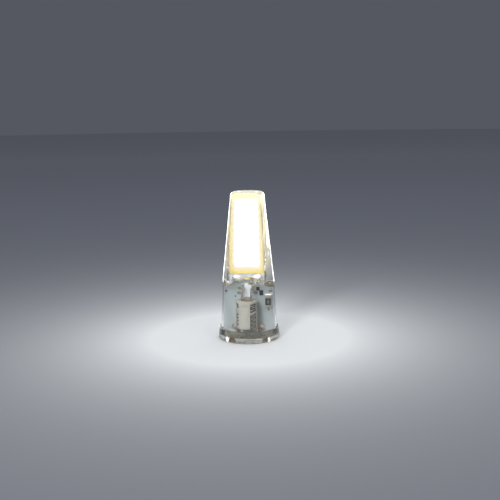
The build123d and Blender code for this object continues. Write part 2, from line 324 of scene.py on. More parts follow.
# Driver board. Glass-fibre laminate under white solder mask, routed to an arch with a narrow tongue above.
# The mask is a screened and baked ink: satin, a cool white and a little uneven. The fibre shows at the edges.
board_face_mm = 0.4
mask_white = start_material("white solder mask, screened and baked")
board_spot = add(mask_white, "ShaderNodeTexCoord").outputs["Object"]
cloud = noise_in(mask_white, board_spot, 2.2, Detail=2.0)
weave = noise_in(mask_white, board_spot, 0.16, Detail=2.0)
mask_tint = mix_colours(mask_white, cloud, "#AFB5B5", "#A0A5A3")
across_board = add(mask_white, "ShaderNodeSeparateXYZ", links={0: board_spot})
depth_in_board = add(mask_white, "ShaderNodeMath", links={0: across_board.outputs["Y"]}, operation="ABSOLUTE")
on_face = add(
    mask_white,
    "ShaderNodeMapRange",
    {"From Min": (board_face_mm - 0.05) * MM, "From Max": (board_face_mm - 0.03) * MM},
    {"Value": depth_in_board.outputs[0]},
)
fibre_tint = mix_colours(mask_white, weave, "#CFC9A8", "#B3AC88")
board_tint = add(
    mask_white,
    "ShaderNodeMix",
    links={0: on_face.outputs[0], 6: fibre_tint, 7: mask_tint},
    data_type="RGBA",
)
weave_relief = relief_in(mask_white, 0.006, weave)
mask_body = add(
    mask_white,
    "ShaderNodeBsdfPrincipled",
    {"Roughness": 0.38, "IOR": 1.5},
    {"Base Color": board_tint.outputs[2], "Normal": weave_relief},
)
end_material(mask_white, mask_body)
finish("driver_board", mask_white)


# Copper under the mask shows only as low ridges: wide pours and narrow tracks. Ink marks are printed on top
# of it: polarity signs, alignment dots and plain blocks. Ink and tin film are thicker here than real ones,
# so that each stands clear of the copper it overlaps.
copper_mm = 0.03
white_ink_mm = 0.055
tin_film_mm = 0.058
black_ink_mm = 0.06
rim_slope = 0.985
plate_step_mm = 0.0006


def flat_shape(form, outline_mm, facing, depth_mm, base_mm):
    """Adds a thin plate with a sloped rim on the board's face. The outline is (across, height) points."""
    middle = sum((Vector(point) for point in outline_mm), Vector((0, 0))) / len(outline_mm)
    foot = [form.verts.new((x, facing * base_mm, z)) for x, z in outline_mm]
    inset = [middle + (Vector(point) - middle) * rim_slope for point in outline_mm]
    crown = [form.verts.new((x, facing * (base_mm + depth_mm), z)) for x, z in inset]
    form.faces.new(crown)
    for index in range(len(foot)):
        after = (index + 1) % len(foot)
        form.faces.new([foot[index], foot[after], crown[after], crown[index]])


def flat_piece(name, shapes, depth_mm, material, base_mm=board_face_mm):
    """Piece made of thin plates, each a (facing, outline) pair in millimetres on one face of the board. Each
    plate is a touch thicker than the last, so that plates that overlap share no face."""
    form = bmesh.new()
    for index, (facing, outline) in enumerate(shapes):
        flat_shape(form, outline, facing, depth_mm + plate_step_mm * index, base_mm)
    bmesh.ops.recalc_face_normals(form, faces=form.faces)
    bmesh.ops.scale(form, vec=(MM, MM, MM), verts=form.verts)
    mesh = bpy.data.meshes.new(name)
    form.to_mesh(mesh)
    form.free()
    piece = show(name, mesh)
    piece.data.materials.append(material)
    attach(piece, "root")


def track(points, width):
    """Outlines of the straight runs and round bends of a copper track."""
    outlines = []
    for start, end in zip(points, points[1:]):
        start, end = Vector(start), Vector(end)
        side = (end - start).orthogonal().normalized() * width / 2
        outlines.append([start + side, end + side, end - side, start - side])
    for point in points:
        outlines.append(disc(point, width / 2))
    return outlines


def disc(centre, radius, count=20):
    """Round outline."""
    return [
        Vector(centre) + Vector((math.cos(turn), math.sin(turn))) * radius
        for turn in (2 * math.pi * step / count for step in range(count))
    ]


def bar(centre, width, height):
    """Upright rectangular outline."""
    x, z = centre
    return [
        Vector((x + side * width / 2, z + level * height / 2))
        for side, level in ((-1, -1), (1, -1), (1, 1), (-1, 1))
    ]


front_copper = [
    [(-4.3, 1.5), (-2.6, 1.5), (-2.6, 3.6), (-3.0, 4.4), (-3.0, 7.2), (-4.3, 8.4)],
    [(-3.9, 8.75), (-2.7, 7.5), (-1.1, 9.0), (-1.1, 9.9), (-2.0, 9.9)],
    [(4.3, 1.5), (2.7, 1.5), (2.7, 4.9), (4.3, 4.9)],
]
front_tracks = track([(1.15, 9.2), (2.1, 8.3), (2.9, 8.3)], 0.4) + track([(2.35, 2.9), (2.35, 6.2)], 0.3)
back_tracks = track([(-3.3, 6.85), (-3.3, 8.4), (-1.0, 9.4)], 0.45) + track([(3.3, 4.35), (2.6, 2.8)], 0.45)
flat_piece(
    "copper_under_mask",
    [(-1, outline) for outline in front_copper + front_tracks] + [(1, outline) for outline in back_tracks],
    copper_mm,
    mask_white,
)


def printed_ink(name, colour, faded_colour, speck_mm):
    """Screened or pad-printed ink: matt, a little broken where it was thin."""
    material = start_material(name)
    spot = add(material, "ShaderNodeTexCoord").outputs["Object"]
    specks = noise_in(material, spot, speck_mm, Detail=3.0)
    tint = mix_colours(material, specks, colour, faded_colour)
    relief = relief_in(material, 0.003, specks)
    body = add(
        material,
        "ShaderNodeBsdfPrincipled",
        {"Roughness": 0.6, "IOR": 1.5},
        {"Base Color": tint, "Normal": relief},
    )
    return end_material(material, body)


board_ink = printed_ink("black legend ink, screened", "#0E0F11", "#1F2022", 0.08)
mark_width_mm = 0.19
plus_place, plus_size_mm = (-4.32, 9.0), 0.54
flat_piece(
    "board_marks",
    [
        (-1, bar(plus_place, plus_size_mm, mark_width_mm)),
        (-1, bar(plus_place, mark_width_mm, plus_size_mm)),
        (-1, bar((4.2, 9.1), 0.58, mark_width_mm)),
        (-1, disc((-2.5, 8.0), 0.15)),
        (-1, disc((3.85, 5.5), 0.18)),
        (-1, bar((1.85, 9.5), 0.62, 0.72)),
        (-1, bar((2.5, 8.72), 0.76, 1.0)),
        (1, disc((-1.7, 8.6), 0.14)),
    ],
    black_ink_mm,
    board_ink,
)
flat_piece(
    "board_white_block",
    [(-1, bar((-0.12, 9.15), 1.2, 2.5))],
    white_ink_mm,
    printed_ink("white legend ink, screened", "#F4F6F8", "#E6E9EC", 0.3),
)


# Solder. Tin alloy that froze in place: bright and smooth with soft lumps and a slightly frosted skin, in
# mounds that wet the pads and draw up the wires.
def lumpy(piece, height_mm, lump_mm, seed):
    """Moves a piece's points along their normals by smooth noise."""
    for vertex in piece.data.vertices:
        sample = vertex.co / (lump_mm * MM) + Vector((seed, 2 * seed, 3 * seed))
        vertex.co += vertex.normal * noise.noise(sample) * height_mm * MM
    piece.data.update()


def mound(name, centre_mm, half_mm, rise_mm, facing, seed, fullness=0.62):
    """Drop of solder on a face of the board: round where it wets the pad and full on top."""
    levels, around = 14, 40
    outline = []
    for level in range(levels + 1):
        share = level / levels
        outline.append((math.cos(share * math.pi / 2) ** fullness, math.sin(share * math.pi / 2)))
    outline[-1] = (0, 1)
    piece = turned(name, [(0, -0.1), (1, -0.1)] + outline, around)
    to_face = Matrix.Rotation(math.radians(90) * -facing, 4, "X")
    size = Matrix.Diagonal((half_mm[0], half_mm[1], rise_mm, 1))
    piece.data.transform(Matrix.Translation(Vector(centre_mm) * MM) @ to_face @ size)
    lumpy(piece, 0.07, 0.5, seed)
    return piece


def join(name, pieces):
    """One object from several."""
    form = bmesh.new()
    for piece in pieces:
        form.from_mesh(piece.data)
    mesh = bpy.data.meshes.new(name)
    form.to_mesh(mesh)
    form.free()
    for piece in pieces:
        bpy.data.objects.remove(piece)
    return show(name, mesh)


frozen_solder = bright_metal("tin solder, frozen bright", "#F2F0EA", "#D9D3C4", 0.27, 0.25, 0.012)
# The dull tin ovals beside the lead joints are painted shade: dark pads that stand for the leads' shadows on
# the board.
shadow_tin = bright_metal("dull tin, painted lead shadows", "#A7A59B", "#6E6B60", 0.42, 0.3, 0.01)
painted_shadow_pads = []
for pad_centre, pad_half in (
    ((-1.8, 8.62), (0.4, 0.28)),
    ((1.42, 8.74), (0.46, 0.3)),
    ((-1.75, 9.55), (0.3, 0.26)),
):
    painted_shadow_pads.append((-1, [Vector(pad_centre) + point * Vector(pad_half) for point in disc((0, 0), 1)]))
flat_piece("painted_shadow_pads", painted_shadow_pads, tin_film_mm, shadow_tin)
browned_solder = bright_metal("tin solder, browned by flux", "#F6F0E2", "#8A6544", 0.3, 0.45, 0.012)
joint_offset_mm, joint_height_mm = 2.6, 2.14
joint_half_mm, joint_rise_mm = (0.66, 0.7), 0.6
notch_half_mm = 0.38
notch_low_mm, notch_top_mm = 1.78, 2.8
for side, side_name in ((-1, "left"), (1, "right")):
    front_spot = (side * joint_offset_mm, -board_face_mm, joint_height_mm)
    back_spot = (side * joint_offset_mm, board_face_mm, joint_height_mm)
    front = mound("front", front_spot, joint_half_mm, joint_rise_mm, -1, 3 + side)
    back = mound("back", back_spot, joint_half_mm, joint_rise_mm, 1, 6 + side)
    filling = block(
        "filling",
        (side * pin_offset_mm - notch_half_mm, -board_face_mm, notch_low_mm),
        (side * pin_offset_mm + notch_half_mm, board_face_mm, notch_top_mm),
        0.1,
    )
    pin_joint = join(f"pin_joint_{side_name}_solder", [front, back, filling])
    pin_joint.data.materials.append(browned_solder)
    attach(pin_joint, "root")
    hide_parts(f"pin_joint_{side_name}")


# Bridge rectifier, on the back. Transfer-moulded black epoxy with a fine matt grain from the tool, and four
# tinned gull-wing legs that stand in square fillets of solder.
def moulded(name, colour, pale_colour, grain_mm, relief_mm, roughness):
    """Opaque moulded plastic or rubber: fine grain, faint clouding and a satin surface."""
    material = start_material(name)
    spot = add(material, "ShaderNodeTexCoord").outputs["Object"]
    grain = noise_in(material, spot, grain_mm, Detail=4.0)
    clouds = noise_in(material, spot, 1.5, Detail=2.0)
    tint = mix_colours(material, clouds, colour, pale_colour)
    gloss = add(
        material,
        "ShaderNodeMapRange",
        {"To Min": roughness * 0.8, "To Max": roughness * 1.2},
        {"Value": grain},
    )
    relief = relief_in(material, relief_mm, grain)
    body = add(
        material,
        "ShaderNodeBsdfPrincipled",
        {"IOR": 1.5},
        {"Base Color": tint, "Roughness": gloss.outputs[0], "Normal": relief},
    )
    return end_material(material, body)


finish("rectifier_case", moulded("black epoxy, moulded", "#1E1E20", "#2B2B2E", 0.09, 0.01, 0.5), 0.1)
tinned_leg = bright_metal("tin plate on stamped copper", "#D3D1CB", "#A9A69D", 0.3, 0.15, 0.004)
for number in range(1, 5):
    finish(f"rectifier_leg_{number}", tinned_leg, 0.03)
    finish(f"rectifier_joint_{number}", frozen_solder, 0.05)

# Chip resistor. White alumina chip with a fired black glaze on its face and nickel-tin plated ends, held by
# a concave solder fillet at each end.
finish("resistor_chip", moulded("alumina, fired and diced", "#DAD8D0", "#C9C6BC", 0.07, 0.006, 0.55), 0.02)
finish("resistor_glaze", moulded("black resistor glaze, fired", "#1E1D19", "#2C2A25", 0.12, 0.008, 0.3))
plated_end = bright_metal("tin plate on chip ends", "#D2CBB9", "#A39C8A", 0.32, 0.1, 0.004)
for level_name, fillet in (("lower", browned_solder), ("upper", frozen_solder)):
    finish(f"resistor_cap_{level_name}", plated_end, 0.04)
    finish(f"resistor_joint_{level_name}", fillet, 0.04)

resistor_place, resistor_ink_mm = (3.8, 7.1), 0.01
flat_piece(
    "resistor_mark",
    [(-1, bar(resistor_place, 0.34, 0.6))],
    resistor_ink_mm,
    printed_ink("olive resistor ink, printed", "#84877A", "#666A5E", 0.12),
    base_mm=-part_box("resistor_glaze")[0].y / MM,
)

# Smoothing capacitor. Deep-drawn aluminium can with a rolled crimp round its rubber bung, in a heat-shrunk
# pale grey film sleeve. The film follows the crimp and laps over both ends. The film is printed in brown
# with plain slanted strokes that stand for the polarity stripe and say nothing.
sleeve_low, sleeve_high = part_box("capacitor_sleeve")
can_centre = (sleeve_low + sleeve_high) / 2
sleeve_radius_mm = (sleeve_high.x - sleeve_low.x) / 2 / MM
sleeve_foot_mm = sleeve_low.z / MM
sleeve_top_mm = sleeve_high.z / MM
crimp_drop_mm = 1.1
crimp_mm = sleeve_top_mm - crimp_drop_mm
crimp_depth_mm = 0.099
crimp_half_mm = 0.3
mouth_radius_mm = 1.34
shoulder_mm = 0.3
film_mm = 0.08


def sleeve_outside(height_mm):
    """Radius of the film, which dips softly into the crimp."""
    dip = math.exp(-(((height_mm - crimp_mm) / crimp_half_mm) ** 2))
    return sleeve_radius_mm - crimp_depth_mm * dip


wall_heights_mm = [crimp_mm + step * 0.06 for step in range(-9, 10)]
lower_shoulder = rounded_outline(
    [
        (mouth_radius_mm, sleeve_foot_mm, 0),
        (sleeve_radius_mm, sleeve_foot_mm, shoulder_mm),
        (sleeve_radius_mm, crimp_mm - 1, 0),
    ]
)
upper_shoulder = rounded_outline(
    [
        (sleeve_radius_mm, crimp_mm + 0.6, 0),
        (sleeve_radius_mm, sleeve_top_mm, shoulder_mm),
        (mouth_radius_mm, sleeve_top_mm, 0),
    ]
)
crimped_wall = [Vector((sleeve_outside(height), height)) for height in wall_heights_mm]
film_outside = lower_shoulder[:-1] + crimped_wall + upper_shoulder[1:]
film_inside = []
for point in reversed(film_outside):
    inner_height_mm = min(max(point.y, sleeve_foot_mm + film_mm), sleeve_top_mm - film_mm)
    film_inside.append(Vector((max(mouth_radius_mm, point.x - film_mm), inner_height_mm)))
sleeve = turned("capacitor_sleeve_film", film_outside + film_inside, around=128)
sleeve.data.transform(Matrix.Translation((can_centre.x, can_centre.y, 0)))
sleeve_film = moulded("pale grey shrink film", "#ABA79A", "#9F9B8D", 0.5, 0.012, 0.26)
sleeve.data.materials.append(sleeve_film)
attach(sleeve, "root")
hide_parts("capacitor_sleeve")


ink_mm = 0.008


def sleeve_stroke(form, turn, height_mm, width_mm, tall_mm, slant_mm):
    """Adds one slanted printed stroke that lies on the film at a turn round the can."""
    columns, rows = 4, 3
    grid = []
    for row in range(rows + 1):
        line = []
        for column in range(columns + 1):
            along = column / columns - 0.5
            height = height_mm + (row / rows - 0.5) * tall_mm + along * slant_mm
            angle = turn + along * width_mm / sleeve_radius_mm
            reach = (sleeve_outside(height) + ink_mm) * MM
            x, y = can_centre.x + math.sin(angle) * reach, can_centre.y - math.cos(angle) * reach
            line.append(form.verts.new((x, y, height * MM)))
        grid.append(line)
    for row in range(rows):
        for column in range(columns):
            low, high = grid[row], grid[row + 1]
            form.faces.new([low[column], low[column + 1], high[column + 1], high[column]])


strokes = bmesh.new()
stripe_turn = math.radians(45)
stripe_edge_turn = 0.27
stroke_pitch_mm = 0.4
side_turn = math.radians(-50)
for foot_mm, count in ((2.75, 4), (4.35, 3), (5.95, 4)):
    for step in range(count):
        slant_mm = 0.1 if step % 2 else 0.42
        sleeve_stroke(strokes, stripe_turn, foot_mm + stroke_pitch_mm * step, 1.25, 0.25, slant_mm)
    middle_mm = foot_mm + 0.2 * count - 0.2
    for side in (-1, 1):
        edge_turn = stripe_turn + side * stripe_edge_turn
        sleeve_stroke(strokes, edge_turn, middle_mm, 0.2, stroke_pitch_mm * count - 0.25, 0.04)
for height_mm in (3.3, 4.0, 4.6, 5.2, 6.7, 7.1):
    sleeve_stroke(strokes, side_turn, height_mm, 0.65, 0.3, 0.22)
    sleeve_stroke(strokes, side_turn, height_mm + 0.22, 0.4, 0.16, -0.2)
stroke_mesh = bpy.data.meshes.new("capacitor_strokes")
strokes.to_mesh(stroke_mesh)
strokes.free()
sleeve_marks = show("capacitor_strokes", stroke_mesh)
sleeve_marks.data.materials.append(printed_ink("brown sleeve ink, printed", "#261A12", "#3A2B20", 0.1))
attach(sleeve_marks, "root")

finish("capacitor_can", bright_metal("aluminium, deep drawn", "#DADCDD", "#BDBFC1", 0.28, 0.2, 0.004))
finish("capacitor_bung", moulded("butyl rubber bung", "#7C6048", "#8E735A", 0.12, 0.01, 0.55))


# Capacitor leads. Tinned steel wire, straight up out of the bung and bent back through the board, where a
# cone of solder fills each hole.
handle_share = 0.55


def wire(name, points_mm, radius_mm, bend_mm):
    """Round wire along straight runs with smooth bends."""
    line = bpy.data.curves.new(name, "CURVE")
    line.dimensions = "3D"
    line.bevel_depth = radius_mm * MM
    line.bevel_resolution = 8
    line.resolution_u = 16
    line.use_fill_caps = True
    points = [Vector(point) for point in points_mm]
    knots = [points[0]]
    for before, here, after in zip(points, points[1:], points[2:]):
        knots += [here + (before - here).normalized() * bend_mm, here + (after - here).normalized() * bend_mm]
    knots.append(points[-1])
    spline = line.splines.new("BEZIER")
    spline.bezier_points.add(len(knots) - 1)
    for index, knot in enumerate(knots):
        bezier = spline.bezier_points[index]
        bezier.co = knot * MM
        bezier.handle_left_type = bezier.handle_right_type = "FREE"
        bezier.handle_left = bezier.handle_right = knot * MM
    for index, here in enumerate(points[1:-1]):
        first, second = spline.bezier_points[2 * index + 1], spline.bezier_points[2 * index + 2]
        before, after = knots[2 * index + 1], knots[2 * index + 2]
        first.handle_right = (before + (here - before) * handle_share) * MM
        second.handle_left = (after + (here - after) * handle_share) * MM
    holder = bpy.data.objects.new(name, line)
    bpy.context.collection.objects.link(holder)
    bpy.context.view_layer.update()
    mesh = bpy.data.meshes.new_from_object(holder.evaluated_get(bpy.context.evaluated_depsgraph_get()))
    bpy.data.objects.remove(holder)
    return show(name, mesh)


lead_low, lead_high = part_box("capacitor_lead_left")
lead_radius_mm = 0.22
lead_offset_mm = 0.875
lead_bend_mm = 0.5
lead_height_mm = lead_high.z / MM - lead_radius_mm
cone_waist_mm, cone_flare_mm, cone_rise_mm = 0.24, 0.24, 0.42
tinned_wire = bright_metal("tinned steel wire", "#F1ECE2", "#B4A58C", 0.22, 0.2, 0.004)
for side, side_name in ((-1, "left"), (1, "right")):
    lead_x_mm = side * lead_offset_mm
    can_y_mm = can_centre.y / MM
    lead = wire(
        f"capacitor_lead_{side_name}_wire",
        [
            (lead_x_mm, can_y_mm, lead_low.z / MM),
            (lead_x_mm, can_y_mm, lead_height_mm),
            (lead_x_mm, lead_high.y / MM, lead_height_mm),
        ],
        lead_radius_mm,
        lead_bend_mm,
    )
    lead.data.materials.append(tinned_wire)
    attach(lead, "root")
    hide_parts(f"capacitor_lead_{side_name}")

    cone = []
    for step in range(9):
        share = step / 8
        radius_mm = cone_waist_mm + cone_flare_mm * (1 - share) ** 2
        cone.append((radius_mm, board_face_mm + cone_rise_mm * share))
    lead_joint = turned(
        f"lead_joint_{side_name}_solder",
        [(0, -cone[-1][1])] + [(r, -h) for r, h in reversed(cone)] + cone + [(0, cone[-1][1])],
        around=48,
    )
    place = Matrix.Translation(Vector((lead_x_mm, 0, lead_height_mm)) * MM)
    lead_joint.data.transform(place @ Matrix.Rotation(math.radians(90), 4, "X"))
    lumpy(lead_joint, 0.05, 0.35, 11 + side)
    lead_joint.data.materials.append(frozen_solder)
    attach(lead_joint, "root")
    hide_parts(f"lead_joint_{side_name}")

# LED boards. A white ceramic strip on each face of the tongue carries two rows of LED dice under a layer of
# yellow phosphor silicone, cast over the full width. Lit, the dice burn the middle out to white and the
# edges of the layer glow pale yellow, deeper towards the pads at its foot.
ceramic_white = moulded("white ceramic, fired", "#C6CACA", "#B8BCBC", 0.12, 0.006, 0.45)
blue_dice = bright_metal("gallium nitride dice", "#BFD0F0", "#8FA6D8", 0.2, 0.1, 0.002)
dull_solder = bright_metal("tin solder, frozen dull", "#FAF9F5", "#E6E2D8", 0.42, 0.2, 0.02)
phosphor_low, phosphor_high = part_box("phosphor_front")

lit_phosphor = start_material("phosphor silicone, cast and lit")
layer_spot = add(lit_phosphor, "ShaderNodeTexCoord").outputs["Object"]
layer_axes = add(lit_phosphor, "ShaderNodeSeparateXYZ", links={0: layer_spot})
off_axis = add(lit_phosphor, "ShaderNodeMath", links={0: layer_axes.outputs["X"]}, operation="ABSOLUTE")
up_layer = add(
    lit_phosphor,
    "ShaderNodeMapRange",
    {"From Min": phosphor_low.z, "From Max": phosphor_high.z},
    {"Value": layer_axes.outputs["Z"]},
)
die_pitch_mm = 1.3
die_wave = add(
    lit_phosphor,
    "ShaderNodeMath",
    {1: 2 * math.pi / (die_pitch_mm * MM)},
    {0: layer_axes.outputs["Z"]},
    operation="MULTIPLY",
)
scallop = add(lit_phosphor, "ShaderNodeMath", links={0: die_wave.outputs[0]}, operation="COSINE")
scalloped_width = add(
    lit_phosphor,
    "ShaderNodeMath",
    {1: 0.045 * MM},
    {0: scallop.outputs[0], 2: off_axis.outputs[0]},
    operation="MULTIPLY_ADD",
)


def lit_rise(place, dark_mm, lit_mm):
    """Smooth rise from 0 to 1 between two places on the layer."""
    rise = add(
        lit_phosphor,
        "ShaderNodeMapRange",
        {"From Min": dark_mm * MM, "From Max": lit_mm * MM},
        {"Value": place},
        interpolation_type="SMOOTHSTEP",
    )
    return rise.outputs[0]


from_sides = lit_rise(scalloped_width.outputs[0], 2.85, 1.42)
from_foot = lit_rise(layer_axes.outputs["Z"], 12.4, 14.4)
from_end = lit_rise(layer_axes.outputs["Z"], 27.9, 26.2)
lit_height = add(lit_phosphor, "ShaderNodeMath", links={0: from_foot, 1: from_end}, operation="MULTIPLY")
lit_middle = add(
    lit_phosphor,
    "ShaderNodeMath",
    links={0: lit_height.outputs[0], 1: from_sides},
    operation="MULTIPLY",
)
edge_glow = mix_colours(lit_phosphor, up_layer.outputs[0], "#FBDB78", "#FBF1A0")
glow_colour = add(
    lit_phosphor,
    "ShaderNodeMix",
    {7: linear("#FFFFFF")},
    {0: lit_middle.outputs[0], 6: edge_glow},
    data_type="RGBA",
)
glow_strength = add(
    lit_phosphor,
    "ShaderNodeMapRange",
    {"From Min": 0.78, "From Max": 1.0, "To Min": 0.76, "To Max": 2.4},
    {"Value": lit_middle.outputs[0]},
    interpolation_type="SMOOTHSTEP",
)
grit = noise_in(lit_phosphor, layer_spot, 0.15, Detail=2.0)
grit_relief = relief_in(lit_phosphor, 0.008, grit)
silicone = add(
    lit_phosphor,
    "ShaderNodeBsdfPrincipled",
    {"Base Color": linear("#7C6A20"), "Roughness": 0.4, "IOR": 1.41},
    {
        "Emission Color": glow_colour.outputs[2],
        "Emission Strength": glow_strength.outputs[0],
        "Normal": grit_relief,
    },
)
end_material(lit_phosphor, silicone)
bead_foot_mm, bead_height_mm = 0.5, 11.7
bead_half_mm, bead_rise_mm = (0.95, 0.84), 0.86
for face_name in ("front", "back"):
    finish(f"led_board_{face_name}", ceramic_white, 0.03)
    finish(f"led_chips_{face_name}", blue_dice)
    finish(f"phosphor_{face_name}", lit_phosphor, 0.03)
    facing = -1 if face_name == "front" else 1
    for side_name in ("left", "right"):
        node = f"led_joint_{face_name}_{side_name}"
        joint_low, joint_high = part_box(node)
        joint_mid = (joint_low + joint_high) / 2
        bead = mound(
            f"{node}_solder",
            (joint_mid.x / MM, facing * bead_foot_mm, bead_height_mm),
            bead_half_mm,
            bead_rise_mm,
            facing,
            joint_mid.x / MM + 3 * facing,
            fullness=0.8,
        )
        bead.data.materials.append(dull_solder)
        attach(bead, "root")
        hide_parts(node)

# Clear cover. One injection moulding in clear polycarbonate: a thin wall round the driver, and above it a
# thick tapered body with a close flat pocket for the LED boards. The chamber's roof is a vault that eases
# down to the front and back walls, with a channel along its middle. The foot is welded into the cap.
cover_foot_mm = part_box("clear_cover")[0].z / MM
cover_top_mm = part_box("clear_cover")[1].z / MM
foot_radius_mm = 5.42
knee_radius_mm, knee_mm = 4.92, 11.2
knee_round_mm = 9.0
top_radius_mm, top_round_mm = 3.12, 0.6
wall_mm = 0.32
vault_spring_mm = 9.9
vault_rise_mm = 2.3
vault_power = 1.5
vault_steps = 24
channel_half_mm, channel_top_mm = 0.7, 12.6
cover = turned(
    "clear_cover_moulding",
    rounded_outline(
        [
            (0, cover_foot_mm, 0),
            (foot_radius_mm, cover_foot_mm, 0.08),
            (knee_radius_mm, knee_mm, knee_round_mm),
            (top_radius_mm, cover_top_mm, top_round_mm),
            (0, cover_top_mm, 0),
        ],
        steps=16,
    ),
    around=224,
)


def chamber_radius_mm(height_mm):
    """Inside radius of the thin lower wall."""
    share = (height_mm - cover_foot_mm) / (knee_mm - cover_foot_mm)
    return foot_radius_mm + share * (knee_radius_mm - foot_radius_mm) - wall_mm


def prism(name, outline_mm, depth_mm):
    """Straight-sided piece along Y from its (across, height) outline in millimetres."""
    form = bmesh.new()
    near = [form.verts.new((x * MM, -depth_mm * MM, z * MM)) for x, z in outline_mm]
    far = [form.verts.new((x * MM, depth_mm * MM, z * MM)) for x, z in outline_mm]
    form.faces.new(near)
    form.faces.new(list(reversed(far)))
    for index in range(len(near)):
        after = (index + 1) % len(near)
        form.faces.new([near[index], far[index], far[after], near[after]])
    bmesh.ops.recalc_face_normals(form, faces=form.faces)
    mesh = bpy.data.meshes.new(name)
    form.to_mesh(mesh)
    form.free()
    return show(name, mesh)


vault_half_mm = chamber_radius_mm(vault_spring_mm)
vault_crown_mm = vault_spring_mm + vault_rise_mm
past_cover_mm, below_cover_mm = 8, 0.2
vault_base = [(-past_cover_mm, below_cover_mm), (past_cover_mm, below_cover_mm)]
vault_points = vault_base + [(past_cover_mm, vault_spring_mm)]
for step in range(2 * vault_steps + 1):
    share = 1 - step / vault_steps
    rise_mm = vault_rise_mm * (1 - abs(share) ** vault_power)
    vault_points.append((vault_half_mm * share, vault_spring_mm + rise_mm))
vault_points.append((-past_cover_mm, vault_spring_mm))
chamber_low_mm, chamber_top_mm = 0.5, vault_crown_mm + 0.1
chamber = turned(
    "chamber",
    [
        (0, chamber_low_mm),
        (chamber_radius_mm(chamber_low_mm), chamber_low_mm),
        (chamber_radius_mm(chamber_top_mm), chamber_top_mm),
        (0, chamber_top_mm),
    ],
    around=224,
)
combine(chamber, prism("vault", vault_points, past_cover_mm), "INTERSECT")

# One side of the ease's outline, from outside the cover towards the middle. Its points are (distance to the
# front or back of the middle, height).
ease_side = [(past_cover_mm, 10.8), (4.9, 11.0), (3.4, 11.5), (2.2, 12.1), (1.8, 12.3)]
ease_mirrored = [(-across, height) for across, height in reversed(ease_side)]
ease = prism("ease", vault_base + ease_side + ease_mirrored, past_cover_mm)
ease.data.transform(Matrix.Rotation(math.radians(90), 4, "Z"))
channel_low = (-channel_half_mm, -past_cover_mm, chamber_low_mm)
combine(ease, block("channel", channel_low, (channel_half_mm, past_cover_mm, channel_top_mm)), "UNION")
combine(chamber, ease, "INTERSECT")
combine(cover, chamber, "DIFFERENCE")

pocket_end_mm = 27.42
pocket_end_half_mm = (2.5, 1.35)
pocket_draft = math.radians(1.2)
pocket_form = block("pocket", (-1, -1, vault_spring_mm), (1, 1, pocket_end_mm))
for corner in pocket_form.data.vertices:
    grown_mm = (pocket_end_mm - corner.co.z / MM) * math.tan(pocket_draft)
    corner.co.x *= pocket_end_half_mm[0] + grown_mm
    corner.co.y *= pocket_end_half_mm[1] + grown_mm
combine(cover, pocket_form, "DIFFERENCE")
# The cover's top glows faintly: painted light for the panel's light piped up into it.
cover.data.materials.append(
    clear_polycarbonate("clear polycarbonate, moulded cover", 2.4, 0.006, 0.015, painted_glow_mm=(25, 28, 0.16))
)

# A smear of clear silicone holds the LED boards in the pocket and covers the rough roof of the vault. It is
# glossy and pitted by fine bubbles. Its olive and white mottle is painted reflection: the rippled roof
# mirroring the lit panel and the dark room, set into its colour.
smear = start_material("silicone smear, cured with bubbles")
smear_spot = add(smear, "ShaderNodeTexCoord").outputs["Object"]
bubbles = noise_in(smear, smear_spot, 0.42, Detail=3.0, Roughness=0.65)
# Painted reflection: olive and white patches in the smear's colour, standing for the lit panel and dark room
# mirrored in the roof.
painted_reflection_mottle = add(smear, "ShaderNodeMapRange", {"From Min": 0.49, "From Max": 0.66}, {"Value": bubbles})
smear_reflection_tint = mix_colours(smear, painted_reflection_mottle.outputs[0], "#453A24", "#DED8C6")
smear_relief = relief_in(smear, 0.25, bubbles)
smear_body = add(
    smear,
    "ShaderNodeBsdfPrincipled",
    {"Roughness": 0.25, "IOR": 1.41, "Transmission Weight": 0.25},
    {"Base Color": smear_reflection_tint, "Normal": smear_relief},
)
smear_passed = add(smear, "ShaderNodeBsdfTransparent", {"Color": linear("#E9E4D6")})
smear_path = add(smear, "ShaderNodeLightPath")
smear_both = add(
    smear,
    "ShaderNodeMixShader",
    links={0: smear_path.outputs["Is Shadow Ray"], 1: smear_body.outputs[0], 2: smear_passed.outputs[0]},
)
cover.data.materials.append(end_material(smear, smear_both))
# Faces that look sideways within 3.2 mm of the middle, the pocket's flat side walls, glow pale yellow from 11
# mm up: painted light for the lit panel seen in them.
cover.data.materials.append(
    clear_polycarbonate("clear polycarbonate, pocket side with painted glow", 1.2, 0.02, 0.08, painted_glow_mm=(11, 16, 0.4))
)
smear_index, painted_glow_side_index = 1, 2
pocket_side_mm = 3.2
for face in cover.data.polygons:
    in_vault = vault_spring_mm - 0.1 < face.center.z / MM < vault_crown_mm + 0.1
    beside_channel = abs(face.center.x) > (channel_half_mm - 0.01) * MM
    if face.normal.z < -0.3 and in_vault and beside_channel:
        face.material_index = smear_index
    elif abs(face.normal.x) > 0.9 and abs(face.center.x) < pocket_side_mm * MM:
        face.material_index = painted_glow_side_index
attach(cover, "root")
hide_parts("clear_cover")

